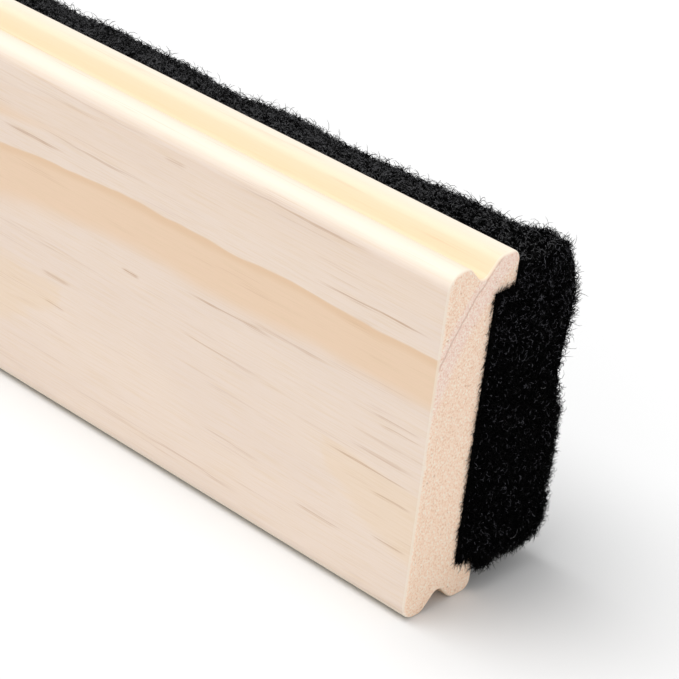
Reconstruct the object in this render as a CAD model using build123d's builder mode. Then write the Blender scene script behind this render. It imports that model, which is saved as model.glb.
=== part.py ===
from build123d import *
import os

# Chalkboard eraser: a moulded pine back with a black felt pad glued into its rear recess.
# Millimetres. X is the length, Y runs from the flat wooden face to the felt's wiping face, and Z is the
# width, so the eraser stands on one moulded long edge at Z = 0. The origin is the middle of that base.

# ---- driving dimensions: the wooden back ----
back_length = 127.0
back_width = 50.8
bead_width = 3.8  # front face to where the crown of the finger bead turns down into the cove
cove_width = 5.75  # across the mouth of the finger cove
lip_crown_width = 3.85  # flat of the rear lip, from the cove to the rear face
cove_apex_depth = 3.0  # sharp V of the cove, before its radius rounds it out
bead_front_radius = 2.4
bead_cove_radius = 2.2
cove_radius = 1.3
lip_cove_radius = 2.0
lip_rear_radius = 1.6
recess_mouth_radius = 0.5
recess_depth = 3.75
recess_lip = 5.5  # long edge of the back to the side wall of the recess
end_arris = 0.45  # rounding of the end grain's edges

# ---- driving dimensions: the glue and the felt pad ----
glue_thickness = 0.25
glue_margin = 1.0  # bare wood left between the glue and the recess walls and ends
felt_thickness = 16.5
felt_clearance = 0.1  # felt to wood, all round
felt_end_inset = 0.3  # felt end back from the end grain
felt_top_margin = 2.6  # top edge of the back to the top of the flared felt
felt_bottom_margin = 4.4  # bottom edge of the back to the underside of the flared felt
felt_top_radius = 4.0
felt_bottom_radius = 1.5
felt_shoulder_radius = 0.8

# ---- what follows from them ----
back_thickness = bead_width + cove_width + lip_crown_width
recess_floor = back_thickness - recess_depth
felt_front = recess_floor + glue_thickness
felt_face = felt_front + felt_thickness
overall_thickness = felt_face
half_width = back_width / 2
recess_half = half_width - recess_lip

os.makedirs("parts", exist_ok=True)


def section_at(inset):
    """Plane square to the length, inset from the back's low end, with local x from the front face
    towards the felt and local y up from mid-width."""
    corner = (inset - back_length / 2, -overall_thickness / 2, half_width)
    return Plane(origin=corner, x_dir=(0, 1, 0), z_dir=(1, 0, 0))


# ---- wooden back: one moulding, with a bead, a cove and a lip along both long edges ----
cove_start = bead_width
cove_end = bead_width + cove_width
cove_middle = (cove_start + cove_end) / 2

with BuildPart() as wood_back:
    with BuildSketch(section_at(0)):
        with BuildLine():
            FilletPolyline(
                (0, 0),
                (0, half_width),
                (cove_start, half_width),
                (cove_middle, half_width - cove_apex_depth),
                (cove_end, half_width),
                (back_thickness, half_width),
                (back_thickness, recess_half),
                (recess_floor, recess_half),
                (recess_floor, 0),
                radius=(
                    bead_front_radius,
                    bead_cove_radius,
                    cove_radius,
                    lip_cove_radius,
                    lip_rear_radius,
                    recess_mouth_radius,
                    0,
                ),
            )
            mirror(about=Plane.XZ)
        make_face()
    extrude(amount=back_length)
    end_faces = wood_back.faces().filter_by(Axis.X)
    fillet(end_faces.edges(), end_arris)
wood_back.part.label = "wood_back"
export_step(wood_back.part, "parts/wood_back.step")

# ---- glue film: a thin sheet on the recess floor, sealed in by the felt ----
with BuildPart() as glue_film:
    with BuildSketch(section_at(glue_margin)):
        with Locations((recess_floor, 0)):
            Rectangle(
                glue_thickness,
                2 * (recess_half - glue_margin),
                align=(Align.MIN, Align.CENTER),
            )
    extrude(amount=back_length - 2 * glue_margin)
glue_film.part.label = "glue_film"
export_step(glue_film.part, "parts/glue_film.step")

# ---- felt pad: its neck fills the recess, and it flares out over the lips behind them ----
neck_half = recess_half - felt_clearance
flare_front = back_thickness + felt_clearance
flare_top = half_width - felt_top_margin
flare_bottom = felt_bottom_margin - half_width

with BuildPart() as felt_pad:
    with BuildSketch(section_at(felt_end_inset)):
        with BuildLine():
            FilletPolyline(
                (felt_front, -neck_half),
                (flare_front, -neck_half),
                (flare_front, flare_bottom),
                (felt_face, flare_bottom),
                (felt_face, flare_top),
                (flare_front, flare_top),
                (flare_front, neck_half),
                (felt_front, neck_half),
                radius=(
                    0,
                    0,
                    0,
                    felt_bottom_radius,
                    felt_top_radius,
                    felt_shoulder_radius,
                    0,
                    0,
                ),
                close=True,
            )
        make_face()
    extrude(amount=back_length - 2 * felt_end_inset)
felt_pad.part.label = "felt_pad"
export_step(felt_pad.part, "parts/felt_pad.step")
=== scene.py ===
"""The looks of a chalkboard eraser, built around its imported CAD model. Metres, Z up.

The eraser stands on one moulded long edge: X is its length, Y runs from the flat wooden face to the felt's
wiping face, and Z is its width. The CAD nodes wood_back and glue_film stay and get their materials. The felt
pad is replaced by a needled, slightly slumped block with real fibres standing out of it.
"""

import math

import bmesh
import bpy
import numpy as np
from mathutils import Matrix, Vector, noise


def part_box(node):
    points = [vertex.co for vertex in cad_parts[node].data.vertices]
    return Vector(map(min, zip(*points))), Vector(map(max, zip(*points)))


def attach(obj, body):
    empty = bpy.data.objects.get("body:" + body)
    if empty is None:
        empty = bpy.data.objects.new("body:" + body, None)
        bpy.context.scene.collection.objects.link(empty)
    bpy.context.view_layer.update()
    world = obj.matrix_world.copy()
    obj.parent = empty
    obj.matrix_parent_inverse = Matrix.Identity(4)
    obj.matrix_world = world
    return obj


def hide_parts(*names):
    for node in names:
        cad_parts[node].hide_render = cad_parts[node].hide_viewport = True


MM = 0.001

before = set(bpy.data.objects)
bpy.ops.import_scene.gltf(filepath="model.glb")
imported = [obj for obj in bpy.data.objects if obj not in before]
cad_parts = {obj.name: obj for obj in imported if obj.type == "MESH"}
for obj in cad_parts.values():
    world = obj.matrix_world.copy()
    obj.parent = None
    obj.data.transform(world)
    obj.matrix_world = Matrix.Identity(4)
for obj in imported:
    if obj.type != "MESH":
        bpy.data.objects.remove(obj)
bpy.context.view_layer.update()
wood_low, wood_high = (np.array(corner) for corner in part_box("wood_back"))
glue_low, glue_high = (np.array(corner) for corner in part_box("glue_film"))
felt_low, felt_high = (np.array(corner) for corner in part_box("felt_pad"))


# ---------------------------------------------------------------- helpers


def srgb(red, green, blue):
    """A linear RGBA colour from 0 to 255 display values."""
    def linear(value):
        value /= 255
        return value / 12.92 if value <= 0.04045 else ((value + 0.055) / 1.055) ** 2.4

    return (linear(red), linear(green), linear(blue), 1.0)


def smooth_step(value, low, high):
    """0 below low, 1 above high and a smooth curve between, on numpy arrays. high may be the smaller."""
    t = np.clip((value - low) / (high - low), 0, 1)
    return t * t * (3 - 2 * t)


def step_from(edge, value, start, full):
    """0 at start and 1 at full, two places in millimetres from the edge. value and edge are in metres."""
    return smooth_step(value, edge + start * MM, edge + full * MM)


def hump(value, middle, half_width):
    """1 at the middle, falling smoothly to 0 half a width away on either side, on numpy arrays."""
    return 1 - smooth_step(np.abs(value - middle), 0, half_width)


class Nodes:
    """Short calls for writing one material's node tree. Lengths inside it are millimetres.

    A mask is a socket from 0 to 1. along and across are cycles a millimetre, on X and on both Y and Z.
    """

    NOISE_RANGE = (0.2, 0.8)  # nearly all of a noise texture lies between these

    def __init__(self, name):
        self.material = bpy.data.materials.new(name)
        self.material.use_nodes = True
        self.tree = self.material.node_tree
        self.shader = self.tree.nodes["Principled BSDF"]

    def add(self, kind, inputs=None, **settings):
        """A new node. inputs maps a socket's name or number to a socket to link or a value to set."""
        node = self.tree.nodes.new(kind)
        for key, value in settings.items():
            setattr(node, key, value)
        for key, value in (inputs or {}).items():
            self.put(node.inputs[key], value)
        return node

    def put(self, socket, value):
        """Links value to the socket if it is another socket, and sets it there if it is a plain value."""
        if isinstance(value, bpy.types.NodeSocket):
            self.tree.links.new(value, socket)
        elif value is not None:
            socket.default_value = value

    def place(self):
        """The row's own coordinates, in millimetres."""
        coordinates = self.add("ShaderNodeTexCoord").outputs["Object"]
        scale = self.add("ShaderNodeVectorMath", {0: coordinates, 3: 1 / MM}, operation="SCALE")
        return scale.outputs[0]

    def math(self, operation, first, second=None, third=None):
        node = self.add("ShaderNodeMath", {0: first, 1: second, 2: third}, operation=operation)
        return node.outputs[0]

    def times(self, first, *others):
        """The product of all the sockets and values given."""
        for other in others:
            first = self.math("MULTIPLY", first, other)
        return first

    def distance(self, value, middle):
        """How far value is from the middle, on either side."""
        return self.math("ABSOLUTE", self.math("SUBTRACT", value, middle))

    def span(self, value, low, high, to_low=0.0, to_high=1.0):
        """value mapped smoothly from low..high to to_low..to_high, and held beyond them."""
        inputs = {"Value": value, "From Min": low, "From Max": high, "To Min": to_low, "To Max": to_high}
        return self.add("ShaderNodeMapRange", inputs, interpolation_type="SMOOTHSTEP").outputs["Result"]

    def window(self, value, start, full, fade, end):
        """A mask that is 0 before start, 1 from full to fade, and 0 after end."""
        return self.times(self.span(value, start, full), self.span(value, end, fade))

    def noise(self, place, along, across, detail=2.0, roughness=0.5, distortion=0.0):
        scale = {0: place, 1: (along, across, across)}
        stretched = self.add("ShaderNodeVectorMath", scale, operation="MULTIPLY").outputs[0]
        inputs = {"Vector": stretched, "Scale": 1.0, "Detail": detail, "Roughness": roughness}
        inputs["Distortion"] = distortion
        return self.add("ShaderNodeTexNoise", inputs).outputs["Fac"]

    def sway(self, place, along, across, amount, detail=2.0):
        """Smooth noise between -amount and amount."""
        found = self.noise(place, along, across, detail)
        return self.span(found, *self.NOISE_RANGE, -amount, amount)

    def mix(self, mask, first, second):
        node = self.add("ShaderNodeMix", data_type="RGBA")
        for socket, value in (("Factor_Float", mask), ("A_Color", first), ("B_Color", second)):
            self.put(next(s for s in node.inputs if s.identifier == socket), value)
        return next(s for s in node.outputs if s.identifier == "Result_Color")

    def tint(self, colour, mask, strength, new):
        """colour with that much of the new one mixed in where the mask is 1."""
        return self.mix(self.times(mask, strength), colour, new)

    def bump(self, height, depth_mm, strength=1.0):
        inputs = {"Height": height, "Distance": depth_mm * MM, "Strength": strength}
        self.put(self.shader.inputs["Normal"], self.add("ShaderNodeBump", inputs).outputs[0])


# ---------------------------------------------------------------- pine: places, in row millimetres

FRONT = wood_low[1] / MM  # the flat face
MIDDLE_Z = (wood_low[2] + wood_high[2]) / 2 / MM
ON_FACE = (FRONT + 0.6, FRONT + 0.3)  # Y where the flat face's own figure starts, and is full

PITH_Y, PITH_Z = FRONT + 36.5, 20.6  # the tree's middle: behind the board and below mid-width
SINK_START, SINK_END, SINK = 12, -45, 5  # the rings sink this far between these two places on X
WANDER, RIPPLE = 0.25, 0.15  # how far a ring strays from a circle, slowly and quickly

RING_WIDTH = 5.0
RING_EDGE = 40.9  # radius at which the visible growth ring's dark wood ends
LATEWOOD = (0.33, 0.52, 0.96, 1.0)  # shares of a ring where its dark wood starts, is full, fades, ends
DARK_RIM = (0.84, 0.94, 0.97, 1.0)  # the same for the darkest part
RINGS_SHOW = (15, 28, 48.0, 49.2)  # heights on the flat face where the rings start, are full, fade, end
RINGS_FAINT = (40.5, 43.5, 1.0, 0.12)  # heights between which they weaken, and their strength at each

FLAME_X, FLAME_GAP = 21, 25  # middle of the bare length between two flames, and half of that length
FLAME_TOP = 19.6
FLAME_SPREAD = 2.9  # how deep a flame is 1 mm in from its tip; it deepens as a square root
FLAME_RAGGED = 1.4
FLAME_LOW_EDGE = (-0.6, 2.4)  # millimetres inside the flame's curve where it starts, and is full
FLAME_TOP_EDGE = (-1.2, 1.6)  # the same, below its top

MOULDED = (23.3, 25.2)  # distances from mid-width where the cooler colour of the mouldings starts, is full
# The finger cove's warm tint is painted shade, standing for light bounced inside the hollow.
COVE_Y = FRONT + 7.0  # middle of the warm shade in the finger cove
COVE_SIDE = (5.0, 1.0)  # distances from that middle where the shade starts, and is full
COVE_DEPTH = (21.5, 22.5)  # the same, from mid-width

PINK_RING = (36.2, 38.2, 40.8, 41.6)  # radii where the end grain's pink ring starts, is full, fades, ends
PINK_HEIGHT = (22, 36)
END_LINE = 40.15  # radius of the thin line that the same ring draws on the end grain
END_LINE_HALF = (0.28, 0.05)  # distances from the line where it starts, and is full
END_LINE_HEIGHT = (33, 38)
# The end grain's low colour is painted lighter to offset the shade near the floor.
END_PAINTED_LIGHT_FADE = (4, 44)  # heights between which the end grain turns from its low colour to its high one

# ---------------------------------------------------------------- pine: colours and their strengths

# A pair beside a colour is the range of noise over which the wood turns into it.
PALE_WOOD = srgb(234, 216, 202)
WARM_WOOD, MOTTLE = srgb(237, 219, 204), (0.35, 0.65)
DARK_WOOD = srgb(235, 206, 178)
RIM_WOOD, RIM_STRENGTH = srgb(228, 194, 160), 0.8
FLAME_WOOD, FLAME_STRENGTH = srgb(236, 210, 178), 0.4
LINE_WOOD, LINE_STRENGTH, FINE_LINES = srgb(226, 200, 166), 0.45, (0.4, 0.75)
MOULDED_WOOD, MOULDED_STRENGTH = srgb(238, 227, 209), 0.8
# painted warm shade for the light bounced inside the finger cove
COVE_PAINTED_SHADE, COVE_PAINTED_SHADE_STRENGTH = srgb(250, 206, 160), 0.65
RESIN, RESIN_STRENGTH = srgb(172, 122, 64), 0.6
# The rounded edges are lighter: partly sanded pale wood, partly a painted highlight where they catch the
# light.
SANDED_EDGE_HIGHLIGHT, EDGE_HIGHLIGHT_STRENGTH = srgb(250, 238, 220), 0.5

# How far the wood faces along X where a rounded edge's lighter strip starts, is full, fades and ends, and
# the first two for the end grain.
EDGE_HIGHLIGHT_FACING = (0.08, 0.35, 0.75, 0.97)
END_FACING = (0.55, 0.95)

PLANED = (0.3, 0.7, 0.48, 0.6)  # a range of noise, and the planed wood's roughness at each of its ends
END_ROUGHER = 0.25  # what the end grain's roughness has on top of that

# the low colour is painted light that offsets the shade near the floor
LOW_END_PAINTED_LIGHT, HIGH_END = srgb(255, 223, 196), srgb(252, 220, 195)
PINK_END, PINK_STRENGTH = srgb(246, 217, 208), 0.65
LIGHT_CELL, LIGHT_CELLS = srgb(255, 243, 226), (0.5, 0.62)
DARK_CELL, DARK_CELLS, DARK_CELL_STRENGTH = srgb(228, 184, 148), (0.48, 0.36), 0.75
END_LINE_COLOUR, END_LINE_STRENGTH = srgb(210, 172, 152), 0.6
FLECK, FLECKS, FLECK_STRENGTH = srgb(196, 152, 118), (0.775, 0.8), 0.5

# Resin streaks in the flat face: where each starts and ends on X, its height on Z, and its strength.
STREAKS = (
    (25, 52, 48.3, 0.7),
    (-17, 14, 48.6, 0.4),
    (13, 18, 46.9, 0.6),
    (-12, 13, 41.7, 0.6),
    (-19, -5, 39.8, 0.9),
    (41, 63, 41.2, 0.9),
    (19, 37, 29.7, 1.0),
    (30, 47, 30.4, 0.6),
    (7, 11, 27.7, 1.0),
    (53, 63, 27.6, 0.8),
    (55, 63, 26.4, 0.7),
    (18, 36, 23.4, 0.6),
    (-9, -2, 20.9, 0.6),
    (50, 63, 21.5, 0.6),
    (46, 63, 19.2, 0.9),
    (55, 63, 16.4, 1.0),
    (-8, -3, 16.3, 0.9),
    (24, 37, 11.2, 0.5),
    (56, 63, 10.0, 0.8),
    (42, 52, 8.2, 0.8),
    (12, 34, 4.6, 0.6),
)
STREAK_FADE = 0.3  # share of a streak's length that it takes to fade at each end
STREAK_LENS = (0.5, 0.05)  # distances from its middle where its fainter lines start, and are full
STREAK_CORE = (0.15, 0.03, 0.0, 0.75)  # the same for its one dark line, and that line's strength at each
STREAK_SWAY = 0.3
DARK_LINES = (0.5, 0.6)  # the range of noise that turns into resin's parallel lines
SCATTERED, SCATTERED_STRENGTH = (0.56, 0.72), 0.3  # and into the patches where they scatter


# ---------------------------------------------------------------- pine: its material


def ring_radius(n, place, x, y, z):
    """Distance from the pith, with the slow drift and the ripple of real growth rings."""
    sunk = n.span(x, SINK_START, SINK_END, 0, SINK)
    from_y = n.math("SUBTRACT", y, PITH_Y)
    from_z = n.math("ADD", n.math("SUBTRACT", z, PITH_Z), sunk)
    squares = n.math("MULTIPLY_ADD", from_y, from_y, n.times(from_z, from_z))
    wander = n.sway(place, along=0.03, across=0.08, amount=WANDER, detail=1.0)
    ripple = n.sway(place, along=0.08, across=0.35, amount=RIPPLE)
    return n.math("ADD", n.math("ADD", n.math("SQRT", squares), wander), ripple)


def flames(n, place, x, z):
    """The cathedral figure low on the face, where a ring just under the surface comes out at both ends."""
    beyond = n.math("MAXIMUM", n.math("SUBTRACT", n.distance(x, FLAME_X), FLAME_GAP), 0)
    depth = n.times(n.math("SQRT", beyond), FLAME_SPREAD)
    ragged = n.sway(place, along=0.08, across=0.7, amount=FLAME_RAGGED)
    below_top = n.math("ADD", n.math("SUBTRACT", FLAME_TOP, z), ragged)
    inside = n.math("SUBTRACT", depth, below_top)
    return n.times(n.span(inside, *FLAME_LOW_EDGE), n.span(below_top, *FLAME_TOP_EDGE))


def streak(n, x, z, lines, start, end, height):
    """One thin line along X that fades at its ends, with fainter lines in the slim lens around it."""
    fade = (end - start) * STREAK_FADE
    reach = n.window(x, start, start + fade, end - fade, end)
    offset = n.distance(z, height)
    beside = n.times(n.span(offset, *STREAK_LENS), lines)
    return n.times(reach, n.math("MAXIMUM", beside, n.span(offset, *STREAK_CORE)))


def resin(n, place, x, y, z):
    """Thin parallel lines: strong at the named streaks on the flat face, faint where they scatter."""
    level = n.math("ADD", z, n.sway(place, along=0.07, across=0.2, amount=STREAK_SWAY))
    lines = n.span(n.noise(place, along=0.08, across=6.5, roughness=0.6), *DARK_LINES)
    patches = n.span(n.noise(place, along=0.05, across=0.9, detail=1.0), *SCATTERED)
    found = n.times(patches, SCATTERED_STRENGTH, lines)
    on_face = n.span(y, *ON_FACE)
    for start, end, height, strength in STREAKS:
        one = n.times(streak(n, x, level, lines, start, end, height), strength, on_face)
        found = n.math("MAXIMUM", found, one)
    return found


def long_grain_colour(n, place, x, y, z, latewood, rim):
    """Pale wood with its growth ring, flames, fine lines and resin, the cooler colour of the mouldings, and
    a painted warm shade in the finger coves.
    """
    mottle = n.span(n.noise(place, along=0.03, across=0.12, detail=3.0), *MOTTLE)
    colour = n.mix(mottle, PALE_WOOD, WARM_WOOD)
    colour = n.tint(colour, flames(n, place, x, z), FLAME_STRENGTH, FLAME_WOOD)
    colour = n.mix(latewood, colour, DARK_WOOD)
    colour = n.tint(colour, rim, RIM_STRENGTH, RIM_WOOD)
    lines = n.span(n.noise(place, along=0.12, across=5.0, detail=3.0, roughness=0.6), *FINE_LINES)
    colour = n.tint(colour, lines, LINE_STRENGTH, LINE_WOOD)
    from_middle = n.distance(z, MIDDLE_Z)
    colour = n.tint(colour, n.span(from_middle, *MOULDED), MOULDED_STRENGTH, MOULDED_WOOD)
    # painted warm shade inside the finger cove
    cove_painted_shade = n.times(n.span(n.distance(y, COVE_Y), *COVE_SIDE), n.span(from_middle, *COVE_DEPTH))
    colour = n.tint(colour, cove_painted_shade, COVE_PAINTED_SHADE_STRENGTH, COVE_PAINTED_SHADE)
    return n.tint(colour, resin(n, place, x, y, z), RESIN_STRENGTH, RESIN)


def end_grain_colour(n, place, radius, z, cells):
    """Speckled tan, painted lighter low down against the shade near the floor, pinker inside the ring, with
    the ring's own thin line and a few resin flecks.
    """
    # painted light low down, against the shade near the floor
    colour = n.mix(n.span(z, *END_PAINTED_LIGHT_FADE), LOW_END_PAINTED_LIGHT, HIGH_END)
    pink = n.times(n.span(z, *PINK_HEIGHT), n.window(radius, *PINK_RING))
    colour = n.tint(colour, pink, PINK_STRENGTH, PINK_END)
    colour = n.mix(n.span(cells, *LIGHT_CELLS), colour, LIGHT_CELL)
    colour = n.tint(colour, n.span(cells, *DARK_CELLS), DARK_CELL_STRENGTH, DARK_CELL)
    line = n.times(n.span(n.distance(radius, END_LINE), *END_LINE_HALF), n.span(z, *END_LINE_HEIGHT))
    colour = n.tint(colour, line, END_LINE_STRENGTH, END_LINE_COLOUR)
    flecks = n.span(n.noise(place, along=0.3, across=1.6, detail=0.0), *FLECKS)
    return n.tint(colour, flecks, FLECK_STRENGTH, FLECK)


def pine():
    """Planed pale pine: one broad growth ring, resin streaks along the length, and speckled end grain."""
    n = Nodes("pine")
    place = n.place()
    x, y, z = n.add("ShaderNodeSeparateXYZ", {0: place}).outputs[:3]
    normal = n.add("ShaderNodeNewGeometry").outputs["Normal"]
    facing = n.math("ABSOLUTE", n.add("ShaderNodeSeparateXYZ", {0: normal}).outputs["X"])
    end_grain = n.span(facing, *END_FACING)
    # painted highlight on the rounded edges, over their sanded pale wood
    edge_highlight = n.window(facing, *EDGE_HIGHLIGHT_FACING)

    radius = ring_radius(n, place, x, y, z)
    year = n.math("FRACT", n.math("DIVIDE", n.math("SUBTRACT", radius, RING_EDGE), RING_WIDTH))
    shown = n.times(n.window(z, *RINGS_SHOW), n.span(z, *RINGS_FAINT))
    latewood = n.times(n.window(year, *LATEWOOD), shown)
    rim = n.times(n.window(year, *DARK_RIM), shown)

    along = long_grain_colour(n, place, x, y, z, latewood, rim)
    cells = n.noise(place, along=0.5, across=3.6, detail=4.0, roughness=0.75)
    across = end_grain_colour(n, place, radius, z, cells)
    colour = n.tint(n.mix(end_grain, along, across), edge_highlight, EDGE_HIGHLIGHT_STRENGTH, SANDED_EDGE_HIGHLIGHT)
    n.put(n.shader.inputs["Base Color"], colour)

    fibre = n.noise(place, along=0.25, across=5.0, detail=3.0, roughness=0.65)
    planed = n.span(fibre, *PLANED)
    n.put(n.shader.inputs["Roughness"], n.math("MULTIPLY_ADD", end_grain, END_ROUGHER, planed))
    smooth = n.times(fibre, n.math("SUBTRACT", 1.0, end_grain))
    n.bump(n.math("MULTIPLY_ADD", cells, end_grain, smooth), depth_mm=0.05, strength=0.45)
    return n.material


# ---------------------------------------------------------------- glue and wool

GLUE_COLOURS = (srgb(214, 190, 140), srgb(190, 160, 108))
FELT_COLOURS, MATTED = (srgb(2, 2, 2), srgb(14, 14, 15)), (0.35, 0.75)  # and the range of noise between them


def glue():
    """Dried woodworking adhesive, seen only where a felt edge lifts."""
    n = Nodes("glue")
    blotch = n.noise(n.place(), along=0.3, across=0.3, detail=3.0)
    n.put(n.shader.inputs["Base Color"], n.mix(blotch, *GLUE_COLOURS))
    n.shader.inputs["Roughness"].default_value = 0.5
    n.bump(blotch, depth_mm=0.1)
    return n.material


def felt():
    """The pad's own surface between the standing fibres: matted black wool."""
    n = Nodes("felt")
    matted = n.noise(n.place(), along=3.4, across=3.4, detail=5.0, roughness=0.7, distortion=0.8)
    n.put(n.shader.inputs["Base Color"], n.mix(n.span(matted, *MATTED), *FELT_COLOURS))
    n.shader.inputs["Roughness"].default_value = 0.95
    n.shader.inputs["Specular IOR Level"].default_value = 0.0
    n.bump(matted, depth_mm=0.3)
    return n.material


def strand(name, colour, shine):
    """One dye lot of wool fibre. The surface is far too thin to hold a pattern of its own."""
    n = Nodes(name)
    n.shader.inputs["Base Color"].default_value = colour
    n.shader.inputs["Roughness"].default_value = 0.45
    n.shader.inputs["Specular IOR Level"].default_value = shine
    return n.material


# ---------------------------------------------------------------- felt pad

VOXEL = 0.45 * MM
WELD = 0.001 * MM
SEED_STEP = (17.3, 5.1, 9.7)  # how far apart two seeds' noise is taken, on each axis
LIP_Y = wood_high[1]
END_X = wood_high[0]
BESIDE_GLUE = 0.9 * MM  # from the glue's long edges to the pad's neck, which fills the recess
NECK_LOW, NECK_HIGH = glue_low[2] - BESIDE_GLUE, glue_high[2] + BESIDE_GLUE

# A pair is where a change starts and where it is full, in millimetres from the face or edge named beside it.
# How far the wool moves is in millimetres too. Sizes and heights with MM are in metres.
FREE_FROM, FREE_AT = 0.3 * MM, 3 * MM  # the slump starts behind the lips, and is full short of the face
LOWER_PART = (12, 1)  # from the underside
UPPER_PART = (-12, -1)  # from the top
ROW_SQUASH, ROW_SIZE = 0.6, 13 * MM  # slow waves on the wiping face, a little taller than long
FACE_WAVE, FACE_SUNK = 0.35, 0.15
WAIST, WAIST_Z, WAIST_WANDER, WAIST_HALF = 0.85, 30 * MM, 3 * MM, 9 * MM  # WANDER is up and down
BULGE, BULGE_TOP, BULGE_FULL = 0.55, 24.5 * MM, 22.0 * MM  # full from BULGE_FULL down
FOLD_SQUASH, FOLD_SIZE = 0.3, 5 * MM  # ripples along the length, nearly the same all the way across
TOP_FOLDS, TOP_SUNK = 0.35, 0.3
TOP_WAVES = ((3, 10, -0.7), (-36, 13, -0.2), (15, 6, 0.4))  # X, half width and rise
SLOPE, SLOPE_FALL, SLOPE_INLAND_FALL = (-9, -1.5), 0.5, 0.75  # from the wiping face
INLAND = (46, 30)  # from the middle of the length
CORNER, CORNER_RISE, CORNER_FALL = (54, 61), 2.1, 1.4  # from the middle of the length
ROUNDED = (-3.5, 0)  # from the wiping face
UNDER_DROOP, UNDER_FOLDS = 0.7, 0.4

SWELL, SWELL_MIDDLE, SWELL_REACH = 0.5, 0.25, (-1.2, -0.2)  # all over an end, in its middle; from the end
SWELL_WIDTH = 0.7  # half the width of the swelling's middle, as a share of the pad's thickness
WORN = (0.35, 0.6, 0.7)  # how far a worn corner is pulled in on X, Y and Z
WORN_X, WORN_Y, WORN_Z = (-4.5, 0), (-7, 0), (-8, -1)  # from the end, the wiping face and the top

LOOSE = (0.1, 1.2)  # from the lips
LOOSE_END, LOOSE_END_SHARE = (-0.6, -0.1), 0.6  # from the end
LUMPS = ((0.28, 2.4 * MM, 3), (0.2, 0.9 * MM, 4))  # height, size and seed
SQUEEZED = 0.08  # how far the held wool swells against the wood


def pad_mesh():
    """A watertight, evenly divided mesh of the pad's CAD solid."""
    shape = bmesh.new()
    shape.from_mesh(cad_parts["felt_pad"].data)
    bmesh.ops.remove_doubles(shape, verts=shape.verts, dist=WELD)
    mesh = bpy.data.meshes.new("felt_pad_soft")
    shape.to_mesh(mesh)
    shape.free()
    pad = bpy.data.objects.new("felt_pad_soft", mesh)
    bpy.context.scene.collection.objects.link(pad)
    remesh = pad.modifiers.new("even", "REMESH")
    remesh.mode = "VOXEL"
    remesh.voxel_size = VOXEL
    graph = bpy.context.evaluated_depsgraph_get()
    even = bpy.data.meshes.new_from_object(pad.evaluated_get(graph), depsgraph=graph)
    pad.modifiers.clear()
    pad.data = even
    return pad


def vertex_vectors(mesh, name):
    """One row a vertex: its place if name is co, or its normal if name is normal."""
    flat = np.empty(len(mesh.vertices) * 3)
    mesh.vertices.foreach_get(name, flat)
    return flat.reshape(-1, 3)


def move_vertices(mesh, points):
    mesh.vertices.foreach_set("co", points.ravel())
    mesh.update()


def grain_at(points, size, seed):
    """Smooth noise of about -1 to 1 at each point, with features of that size in metres."""
    shift = Vector([seed * step for step in SEED_STEP])
    return np.array([noise.noise(Vector(point) / size + shift) for point in points])


def face_rise(x, z):
    """How far the wiping face moves out, in millimetres: a bulge low down, a waist above it, slow waves."""
    rows = np.stack([x, np.zeros_like(x), z * ROW_SQUASH], axis=1)
    wave = grain_at(rows, ROW_SIZE, seed=1)
    waist = hump(z, WAIST_Z + WAIST_WANDER * wave, WAIST_HALF)
    bulge = smooth_step(z, BULGE_TOP, BULGE_FULL)
    return FACE_WAVE * wave - FACE_SUNK + BULGE * bulge - WAIST * waist


def top_rise(x, y, folds):
    """How far the top moves up, in millimetres. It slopes down to the wiping face, except at its corners."""
    waves = sum(rise * hump(x, middle * MM, half * MM) for middle, half, rise in TOP_WAVES)
    sloped = step_from(felt_high[1], y, *SLOPE)
    rounded = step_from(felt_high[1], y, *ROUNDED)
    inland = step_from(0, np.abs(x), *INLAND)
    raised = step_from(0, np.abs(x), *CORNER) * (CORNER_RISE * sloped - CORNER_FALL * rounded)
    fall = sloped * (SLOPE_FALL + SLOPE_INLAND_FALL * inland)
    return TOP_FOLDS * folds - TOP_SUNK + waves - fall + raised


def slump(points):
    """The pad's large shape: a droopy underside, a waist and a bulge on the wiping face, a wavy top."""
    x, y, z = points.T
    free = smooth_step(y, LIP_Y + FREE_FROM, felt_high[1] - FREE_AT)
    lower = step_from(felt_low[2], z, *LOWER_PART)
    upper = step_from(felt_high[2], z, *UPPER_PART)
    folds = grain_at(np.stack([x, y * FOLD_SQUASH, np.zeros_like(x)], axis=1), FOLD_SIZE, seed=2)
    moved = points.copy()
    moved[:, 1] += free * MM * face_rise(x, z)
    moved[:, 2] += free * MM * (upper * top_rise(x, y, folds) - lower * (UNDER_DROOP + UNDER_FOLDS * folds))
    return moved


def swell_ends(points):
    """The cut ends swell past the end grain, and each one's top outer corner is worn round."""
    x, y, z = points.T
    at_end = step_from(felt_high[0], np.abs(x), *SWELL_REACH)
    middle = hump(y, (felt_low[1] + felt_high[1]) / 2, (felt_high[1] - felt_low[1]) * SWELL_WIDTH)
    swollen = points.copy()
    swollen[:, 0] += np.sign(x) * at_end * MM * (SWELL + SWELL_MIDDLE * middle)
    worn = step_from(felt_high[0], np.abs(x), *WORN_X)
    worn *= step_from(felt_high[1], y, *WORN_Y)
    worn *= step_from(felt_high[2], z, *WORN_Z)
    return swollen - worn[:, None] * np.sign(points) * np.array(WORN) * MM


def matt(points, normals):
    """The needled surface: soft lumps with finer ones on them. Held by the wood, it swells against it."""
    loose = step_from(LIP_Y, points[:, 1], *LOOSE)
    at_end = step_from(felt_high[0], np.abs(points[:, 0]), *LOOSE_END)
    room = np.maximum(loose, LOOSE_END_SHARE * at_end)
    lumps = sum(height * grain_at(points, size, seed) for height, size, seed in LUMPS)
    held = 1 - room
    return points + normals * (room * lumps * MM + held * SQUEEZED * MM)[:, None]


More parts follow.
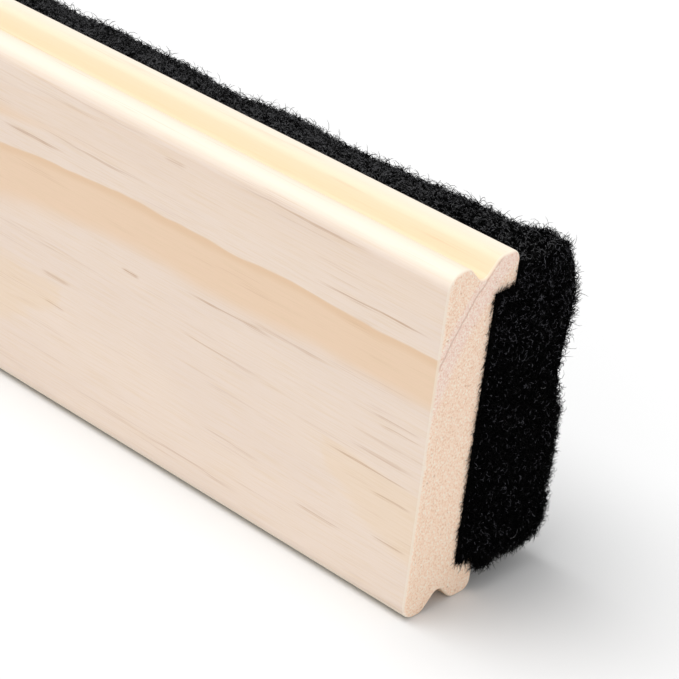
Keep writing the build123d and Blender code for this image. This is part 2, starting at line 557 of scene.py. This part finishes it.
def make_pad():
    pad = pad_mesh()
    mesh = pad.data
    points = swell_ends(slump(vertex_vectors(mesh, "co")))
    move_vertices(mesh, points)
    move_vertices(mesh, matt(points, vertex_vectors(mesh, "normal")))
    mesh.polygons.foreach_set("use_smooth", [True] * len(mesh.polygons))
    mesh.materials.append(felt())
    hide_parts("felt_pad")
    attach(pad, "root")
    return pad


# ---------------------------------------------------------------- standing fibres

FIBRES_A_PIECE = 7500
RINGS = 5  # cross-sections along a fibre
SIDES = 3
TAPER = (1.0, 0.95, 0.85, 0.7, 0.3)  # each ring's share of the thickness
OFF_AXIS = (0.31, 0.47, 0.83)  # a direction for squaring the rings up to a fibre's heading
ROOT_DEPTH = 0.12 * MM  # how far a fibre's root is sunk in the pad
TILT = (-0.9, 0.25)  # how far a fibre's bend leans into the wool, or out of it
FRINGE_POWER = 5  # the higher, the more squarely a fringe points away from its own side of the section
FINE = (0.06, 0.1)  # thicknesses at the root, in millimetres
COARSE = (0.08, 0.12)
CLEAR_OF_LIPS, CLEAR_OF_END = 0.25 * MM, 0.2 * MM  # nothing grows on the wool that the wood hides
SHORTEST = 1e-12  # keeps a vector without length from dividing by nothing

# Where the fibres grow. Pairs are where a share starts and where it is full, in millimetres from the face or
# edge named beside them, or limits on how far the surface faces up.
FACING_UP = (0.35, 0.7)
# where the painted sheen on the top is full, and how much of it is lost by the ends
TOP_SHEEN_MIDDLE, TOP_SHEEN_END_LOSS = (25, 55), 0.6  # from the middle of the length
OFF_TOP_FACING, OFF_TOP_LOSS = (0.2, 0.6), 0.85
# The gain towards the top is painted light: more pale fibre highlights where the sides are lit more from
# above.
LOW_SHARE, HIGH_LIGHT_GAIN = 0.5, 1.2  # off the top: the density up to mid-height, and what it gains by the top
ON_END = (-0.4, -0.1)  # from the end grain
RIM = (1.0 * MM, 0.2 * MM)  # in from the section's outline
NECK_BEHIND = 0.5 * MM  # the neck's outline counts as far as this behind the lips
RIM_TOP, RIM_TOP_LOSS = (-7, -3), 0.85  # from the top
FOOT_HALF = 3.5 * MM  # across the lower lip's edge
FOOT_HEIGHT = 1.5 * MM


def roots_on(mesh, count, random, weight):
    """count random places on the mesh's free surface, denser where weight says, and the normal at each."""
    mesh.calc_loop_triangles()
    corners = np.empty(len(mesh.loop_triangles) * 3, dtype=np.int64)
    mesh.loop_triangles.foreach_get("vertices", corners)
    triangles = vertex_vectors(mesh, "co")[corners.reshape(-1, 3)]
    middle = triangles.mean(axis=1)
    cross = np.cross(triangles[:, 1] - triangles[:, 0], triangles[:, 2] - triangles[:, 0])
    area = np.linalg.norm(cross, axis=1)
    free = (middle[:, 1] > LIP_Y + CLEAR_OF_LIPS) | (np.abs(middle[:, 0]) > END_X - CLEAR_OF_END)
    chance = area * free * weight(middle, cross / area[:, None])
    chosen = random.choice(len(area), count, p=chance / chance.sum())
    share = random.random((count, 2))
    folded = share.sum(axis=1) > 1
    share[folded] = 1 - share[folded]
    a, b, c = triangles[chosen].transpose(1, 0, 2)
    roots = a + (b - a) * share[:, :1] + (c - a) * share[:, 1:]
    return roots, cross[chosen] / area[chosen, None]


# Each of these gives the fibres' density at points on the surface, from their places and their normals.


def everywhere(points, normals):
    """The same all over."""
    return 1.0


def top_painted_sheen(points, normals):
    """The top, where greyer fibres are a painted sheen from the light above: more in the middle of the
    length than by the ends.
    """
    faded = 1 - TOP_SHEEN_END_LOSS * step_from(0, np.abs(points[:, 0]), *TOP_SHEEN_MIDDLE)
    return smooth_step(normals[:, 2], *FACING_UP) * faded


def off_top_lit_higher(points, normals):
    """Everywhere but the top, and less towards the bottom: painted light, as the upper sides are lit more
    from above.
    """
    height = smooth_step(points[:, 2], (felt_low[2] + felt_high[2]) / 2, felt_high[2])
    facing = smooth_step(normals[:, 2], *OFF_TOP_FACING)
    return (LOW_SHARE + HIGH_LIGHT_GAIN * height) * (1 - OFF_TOP_LOSS * facing)


def on_end_rims(points, normals):
    """The outer millimetre of both cut ends, the neck's included, and sparser along their top."""
    beyond = step_from(END_X, np.abs(points[:, 0]), *ON_END)
    in_neck = points[:, 1] < LIP_Y + NECK_BEHIND
    low = np.where(in_neck, NECK_LOW, felt_low[2])
    high = np.where(in_neck, NECK_HIGH, felt_high[2])
    across = np.minimum(points[:, 1] - felt_low[1], felt_high[1] - points[:, 1])
    upright = np.minimum(points[:, 2] - low, high - points[:, 2])
    near_top = step_from(felt_high[2], points[:, 2], *RIM_TOP)
    sparse = 1 - RIM_TOP_LOSS * near_top * (1 - in_neck)
    return beyond * sparse * smooth_step(np.minimum(across, upright), *RIM)


def on_foot(points, normals):
    """The foot of both cut ends beside the lower lip, where loose wool hangs over the wood."""
    beyond = step_from(END_X, np.abs(points[:, 0]), *ON_END)
    beside_lip = hump(points[:, 1], LIP_Y + NECK_BEHIND, FOOT_HALF)
    return beyond * beside_lip * smooth_step(points[:, 2], NECK_LOW + FOOT_HEIGHT, NECK_LOW)


def unit(vectors):
    return vectors / np.maximum(np.linalg.norm(vectors, axis=-1, keepdims=True), SHORTEST)


def fibre_paths(roots, normals, random, length, lift, curl, outwards):
    """Curly paths, RINGS points each. lift is the first angle above the surface and curl the whole turn.

    outwards, from 0 to 1, turns a cut end's fibres towards the nearest side of the pad's section.
    """
    count = len(roots)
    if outwards:
        normals = np.sign(roots[:, :1]) * (1.0, 0.0, 0.0)
    from_middle = (roots - (felt_low + felt_high) / 2) / (felt_high - felt_low) * (0, 2, 2)
    heading = (1 - outwards) * unit(random.normal(size=(count, 3)))
    heading = heading + outwards * unit(from_middle ** FRINGE_POWER)
    along = unit(heading - normals * np.sum(heading * normals, axis=1, keepdims=True))
    pitch = np.radians(random.uniform(*lift, count))[:, None]
    ahead = along * np.cos(pitch) + normals * np.sin(pitch)
    tilt = random.uniform(*TILT, count)[:, None] * (1 - outwards)
    side = np.cross(normals, along) * random.choice((-1, 1), count)[:, None] + normals * tilt
    side = unit(side - ahead * np.sum(side * ahead, axis=1, keepdims=True))
    turn = np.radians(random.uniform(*curl, count))[:, None]
    step = (random.uniform(*length, count) * MM / (RINGS - 1))[:, None]
    path = [roots - normals * ROOT_DEPTH]
    for ring in range(RINGS - 1):
        angle = turn * ring / (RINGS - 2)
        path.append(path[-1] + (ahead * np.cos(angle) + side * np.sin(angle)) * step)
    return np.stack(path, axis=1)


def fibre_points(paths, thickness):
    """The corners of every fibre's tapered rings, SIDES to a ring."""
    heading = unit(np.gradient(paths, axis=1))
    side = unit(np.cross(heading, OFF_AXIS))
    over = np.cross(heading, side)
    corners = []
    for corner in range(SIDES):
        angle = 2 * math.pi * corner / SIDES
        corners.append(side * math.cos(angle) + over * math.sin(angle))
    ring = np.stack(corners, axis=2) * np.array(TAPER)[None, :, None, None]
    return paths[:, :, None, :] + ring * thickness[:, None, None, None] / 2


def fibre_faces(count):
    """The vertex numbers of every fibre's side faces, and of its two end caps."""
    quads = []
    for level in range(RINGS - 1):
        for corner in range(SIDES):
            following = (corner + 1) % SIDES
            low, high = level * SIDES, (level + 1) * SIDES
            quads.append((low + corner, low + following, high + following, high + corner))
    tip = (RINGS - 1) * SIDES
    caps = [(2, 1, 0), (tip, tip + 1, tip + 2)]
    first = (np.arange(count) * RINGS * SIDES)[:, None, None]
    return (first + np.array(quads)).reshape(-1, 4), (first + np.array(caps)).reshape(-1, 3)


def fibre_mesh(name, paths, thickness):
    """One mesh of closed, tapered, three-sided fibres along the paths."""
    quads, caps = fibre_faces(len(paths))
    mesh = bpy.data.meshes.new(name)
    mesh.vertices.add(len(paths) * RINGS * SIDES)
    mesh.vertices.foreach_set("co", fibre_points(paths, thickness).ravel())
    mesh.loops.add(quads.size + caps.size)
    mesh.loops.foreach_set("vertex_index", np.concatenate([quads.ravel(), caps.ravel()]))
    mesh.polygons.add(len(quads) + len(caps))
    starts = np.concatenate([np.arange(len(quads)) * 4, quads.size + np.arange(len(caps)) * 3])
    mesh.polygons.foreach_set("loop_start", starts)
    mesh.update(calc_edges=True)
    mesh.validate()
    mesh.polygons.foreach_set("use_smooth", [True] * len(mesh.polygons))
    return mesh


def make_fibres(
    pad, name, material, seed, length, lift, curl, thick,
    count=FIBRES_A_PIECE, where=everywhere, outwards=0.0,
):
    """One piece of count fibres. length and thick are ranges in millimetres, lift and curl in degrees."""
    random = np.random.default_rng(seed)
    roots, normals = roots_on(pad.data, count, random, where)
    paths = fibre_paths(roots, normals, random, length, lift, curl, outwards)
    mesh = fibre_mesh(name, paths, random.uniform(*thick, count) * MM)
    mesh.materials.append(material)
    piece = bpy.data.objects.new(name, mesh)
    bpy.context.scene.collection.objects.link(piece)
    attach(piece, "root")


def make_lot(pad, name, pieces, material, first_seed, **kind):
    """Several full pieces of one kind of fibre, each with its own number and seed."""
    for number in range(pieces):
        make_fibres(pad, f"{name}_{number + 1}", material, first_seed + number, **kind)


def make_all_fibres(pad):
    """Curly fibres that lie in the mat, others that stand out of it, greyer wool whose fibres are partly
    painted highlights, and a painted sheen of grey fibres on the top.
    """
    black = strand("wool_black", srgb(5, 5, 5), shine=0.03)
    charcoal_and_highlights = strand("wool_charcoal_and_highlights", srgb(98, 98, 104), shine=0.3)
    top_sheen_grey = strand("wool_grey_painted_sheen", srgb(80, 80, 82), shine=0.3)
    pale = strand("wool_pale", srgb(150, 150, 152), shine=0.5)
    make_lot(
        pad, "felt_mat_fibres", 4, black, first_seed=10,
        length=(0.8, 1.7), lift=(5, 60), curl=(80, 260), thick=COARSE,
    )
    make_lot(
        pad, "felt_standing_fibres", 5, black, first_seed=20,
        length=(1.1, 2.6), lift=(40, 90), curl=(60, 270), thick=FINE,
    )
    # greyer fibres: partly charcoal wool, partly painted highlights on the black strands, more of them
    # higher up
    make_lot(
        pad, "felt_charcoal_highlight_fibres", 3, charcoal_and_highlights, first_seed=30,
        length=(0.5, 1.3), lift=(5, 60), curl=(80, 260), thick=FINE, where=off_top_lit_higher,
    )
    # grey fibres on the top only: a painted sheen for the light falling on it from above
    make_lot(
        pad, "felt_top_sheen_fibres", 2, top_sheen_grey, first_seed=40,
        length=(0.6, 1.5), lift=(15, 80), curl=(60, 260), thick=COARSE, where=top_painted_sheen,
    )
    make_fibres(
        pad, "felt_end_fringe", black, seed=50,
        length=(0.8, 1.8), lift=(3, 25), curl=(0, 130), thick=FINE, where=on_end_rims, outwards=0.75,
    )
    make_fibres(
        pad, "felt_foot_wisps", black, seed=52, count=700,
        length=(1.4, 2.6), lift=(5, 40), curl=(20, 150), thick=FINE, where=on_foot, outwards=0.7,
    )
    make_fibres(
        pad, "felt_pale_strays", pale, seed=51, count=60,
        length=(1.2, 2.6), lift=(5, 25), curl=(40, 160), thick=FINE,
    )


# ---------------------------------------------------------------- stage, lights and camera

FLOOR_HALF = 3.0
FLOOR_COLOUR = (0.8, 0.8, 0.8, 1)
WHITE = (1, 1, 1, 1)
SKY = 0.56
KEY, KEY_FROM, KEY_WIDTH = 2.35, (-0.33, -0.19, 1.0), 49  # watts a square metre, direction, degrees across
FILL, FILL_FROM, FILL_WIDTH = 0.4, (0.9, -0.35, 0.3), 60

CAMERA_AT = (0.2460, -0.2516, 0.2025)
CAMERA_AZIMUTH, CAMERA_ELEVATION, CAMERA_ROLL = 39.83, 28.39, 7.09  # degrees
CAMERA_LENS = 147.5  # millimetres
CAMERA_CLIP = 0.01


def make_floor():
    mesh = bpy.data.meshes.new("floor")
    h = FLOOR_HALF
    mesh.from_pydata([(-h, -h, 0), (h, -h, 0), (h, h, 0), (-h, h, 0)], [], [(0, 1, 2, 3)])
    n = Nodes("floor")
    n.shader.inputs["Base Color"].default_value = FLOOR_COLOUR
    n.shader.inputs["Roughness"].default_value = 0.9
    n.shader.inputs["Specular IOR Level"].default_value = 0.1
    mesh.materials.append(n.material)
    floor = bpy.data.objects.new("floor", mesh)
    bpy.context.scene.collection.objects.link(floor)


def make_lamp(name, strength, source, width):
    """A sun that shines from the direction source, width degrees across."""
    lamp = bpy.data.lights.new(name, "SUN")
    lamp.energy = strength
    lamp.angle = math.radians(width)
    light = bpy.data.objects.new(name, lamp)
    light.rotation_euler = Vector(source).to_track_quat("Z", "Y").to_euler()
    bpy.context.scene.collection.objects.link(light)


def make_lights():
    """A bright white studio: even light all round, a broad key from above the far end, and a weak fill."""
    scene = bpy.context.scene
    world = bpy.data.worlds.new("studio")
    world.use_nodes = True
    world.node_tree.nodes["Background"].inputs["Color"].default_value = WHITE
    world.node_tree.nodes["Background"].inputs["Strength"].default_value = SKY
    scene.world = world
    make_lamp("key", KEY, KEY_FROM, KEY_WIDTH)
    make_lamp("fill", FILL, FILL_FROM, FILL_WIDTH)
    scene.view_settings.view_transform = "Standard"


def make_camera():
    """A long lens, in front of the near end and above it, rolled a little to one side."""
    azimuth, elevation, roll = (
        math.radians(angle) for angle in (CAMERA_AZIMUTH, CAMERA_ELEVATION, CAMERA_ROLL)
    )
    level = Vector((math.cos(azimuth), math.sin(azimuth), 0))
    flat = Vector((math.sin(azimuth), -math.cos(azimuth), 0)) * math.cos(elevation)
    back = flat + Vector((0, 0, math.sin(elevation)))
    upright = back.cross(level)
    right = level * math.cos(roll) + upright * math.sin(roll)
    up = upright * math.cos(roll) - level * math.sin(roll)
    lens = bpy.data.cameras.new("camera")
    lens.lens = CAMERA_LENS
    lens.clip_start = CAMERA_CLIP
    camera = bpy.data.objects.new("camera", lens)
    camera.matrix_world = Matrix.Translation(CAMERA_AT) @ Matrix((right, up, back)).transposed().to_4x4()
    bpy.context.scene.collection.objects.link(camera)
    bpy.context.scene.camera = camera


# ---------------------------------------------------------------- the whole scene


def paint(node, material):
    """Gives a CAD node its one material, and leaves its mesh as it is."""
    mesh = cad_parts[node].data
    mesh.materials.clear()
    mesh.materials.append(material)


paint("wood_back", pine())
paint("glue_film", glue())
make_all_fibres(make_pad())
make_floor()
make_lights()
make_camera()
